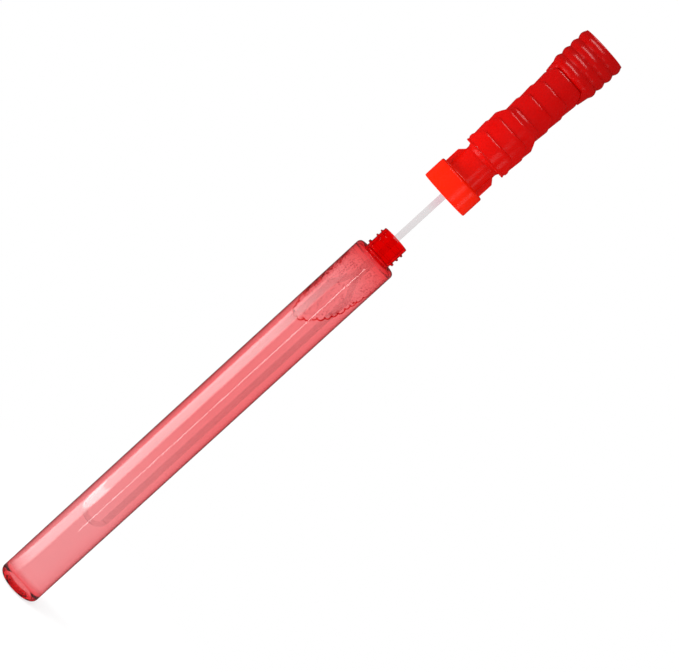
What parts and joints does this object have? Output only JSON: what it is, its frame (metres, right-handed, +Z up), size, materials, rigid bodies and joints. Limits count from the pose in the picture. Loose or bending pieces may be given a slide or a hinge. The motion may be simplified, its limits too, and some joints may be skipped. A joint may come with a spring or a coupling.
{
  "type": "bubble wand",
  "caption": "Clear screw-neck tube of bubble liquid, closed by a hilt-shaped screw cap that carries a long ribbed dipping wand. The cap and wand lift straight out of the tube.",
  "frame": {"origin": "middle of the standing ring under the tube", "axes": "+Z up the tube towards the neck and the cap, +X towards a side fin of the handle, -Y towards the pictured front"},
  "size_m": [0.0286, 0.0286, 0.4106],
  "materials": {
    "clear_red_plastic": "clear tinted, polished",
    "red_plastic": "glossy moulded",
    "insert_plastic": "satin moulded",
    "seal_foam": "matte closed-cell foam",
    "wand_plastic": "translucent satin"
  },
  "bodies": {
    "bottle": {"bottle": "clear_red_plastic"},
    "washer": {"seal_washer": "seal_foam"},
    "cap": {"handle": "red_plastic", "thread_insert": "insert_plastic", "wand": "wand_plastic"}
  },
  "joints": [
    {"name": "wand_pull", "type": "slide", "parent": "bottle", "child": "washer", "axis": [0, 0, 1], "range_m": [-0.0446, 0.225]},
    {"name": "cap_twist", "type": "hinge", "parent": "washer", "child": "cap", "pos_m": [0, 0, 0.3138], "axis": [0, 0, 1], "range_deg": [-720, 0]}
  ]
}
